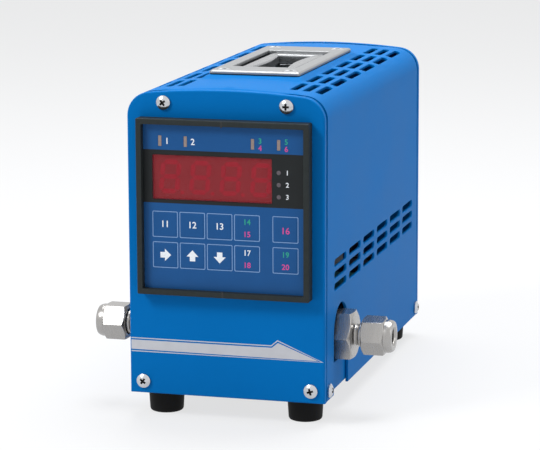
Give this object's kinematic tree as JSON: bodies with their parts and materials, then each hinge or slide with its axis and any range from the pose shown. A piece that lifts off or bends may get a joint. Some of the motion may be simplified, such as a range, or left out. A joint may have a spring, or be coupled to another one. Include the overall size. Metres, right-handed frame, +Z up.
{
  "type": "mass flow meter",
  "caption": "Bench gas mass flow meter: blue sheet-metal case with a panel meter, compression tube fittings on both sides, vents, rubber feet and a folding carrying handle.",
  "frame": {"origin": "on the bench, under the middle of the case's width and depth", "axes": "+X right as seen from the front, +Y to the back of the case, +Z up"},
  "size_m": [0.127, 0.1863, 0.1384],
  "materials": {
    "blue_paint": "satin enamel on steel sheet",
    "zinc_steel": "zinc-plated sheet",
    "bright_screw": "bright zinc plate",
    "black_rubber": "matt",
    "satin_steel": "satin stainless steel",
    "black_plastic": "matt black",
    "blue_film": "printed polyester film",
    "red_window": "clear red acrylic",
    "white_lens": "diffusing",
    "circuit_board": "green resist",
    "stainless": "turned stainless steel",
    "nickel_brass": "nickel plate",
    "copper_coil": "taped winding",
    "black_sink": "black anodised",
    "fuse_glass": "clear tube"
  },
  "bodies": {
    "meter": {"adapter_seals": "black_rubber", "back_ferrules": "stainless", "block_screws": "bright_screw", "block_spacers": "zinc_steel", "chassis": "blue_paint", "cover": "blue_paint", "cover_screws": "bright_screw", "digit_module": "black_plastic", "display_board": "circuit_board", "filter_capacitors": "black_plastic", "flow_block": "stainless", "foot_front_left": "black_rubber", "foot_front_right": "black_rubber", "foot_rear_left": "black_rubber", "foot_rear_right": "black_rubber", "foot_screws": "bright_screw", "front_ferrules": "stainless", "front_panel": "blue_paint", "fuse": "fuse_glass", "fuse_clips": "nickel_brass", "handle_body": "satin_steel", "handle_gasket": "black_rubber", "handle_pin": "stainless", "handle_screws": "bright_screw", "heat_sink": "black_sink", "indicator_leds": "white_lens", "inlet_adapter": "stainless", "inlet_nut": "stainless", "laminar_element": "stainless", "mains_inlet": "black_plastic", "mains_pins": "nickel_brass", "membrane_keypad": "blue_film", "meter_bezel": "black_plastic", "meter_case": "black_plastic", "meter_clamp_screws": "bright_screw", "meter_clamps": "black_plastic", "meter_main_board": "circuit_board", "meter_terminals": "black_plastic", "meter_window": "red_window", "outlet_adapter": "stainless", "outlet_nut": "stainless", "panel_screws": "bright_screw", "power_switch_body": "black_plastic", "rear_panel": "blue_paint", "sensor_board": "circuit_board", "sensor_board_pillars": "zinc_steel", "sensor_housing": "stainless", "sensor_lid": "stainless", "sensor_plug": "black_plastic", "sensor_tube": "stainless", "signal_connector": "nickel_brass", "signal_posts": "nickel_brass", "supply_board": "circuit_board", "supply_pillars": "nickel_brass", "transformer_coil": "copper_coil", "transformer_core": "zinc_steel", "voltage_regulator": "black_plastic"},
    "handle_ring": {"handle_bail": "satin_steel"},
    "rocker": {"power_switch_rocker": "black_plastic"}
  },
  "joints": [
    {"name": "handle_hinge", "type": "hinge", "parent": "meter", "child": "handle_ring", "pos_m": [0, -0.0256, 0.1354], "axis": [1, 0, 0], "range_deg": [0, 90]},
    {"name": "switch_hinge", "type": "hinge", "parent": "meter", "child": "rocker", "pos_m": [-0.018, 0.087, 0.0718], "axis": [1, 0, 0], "range_deg": [0, 14]}
  ]
}
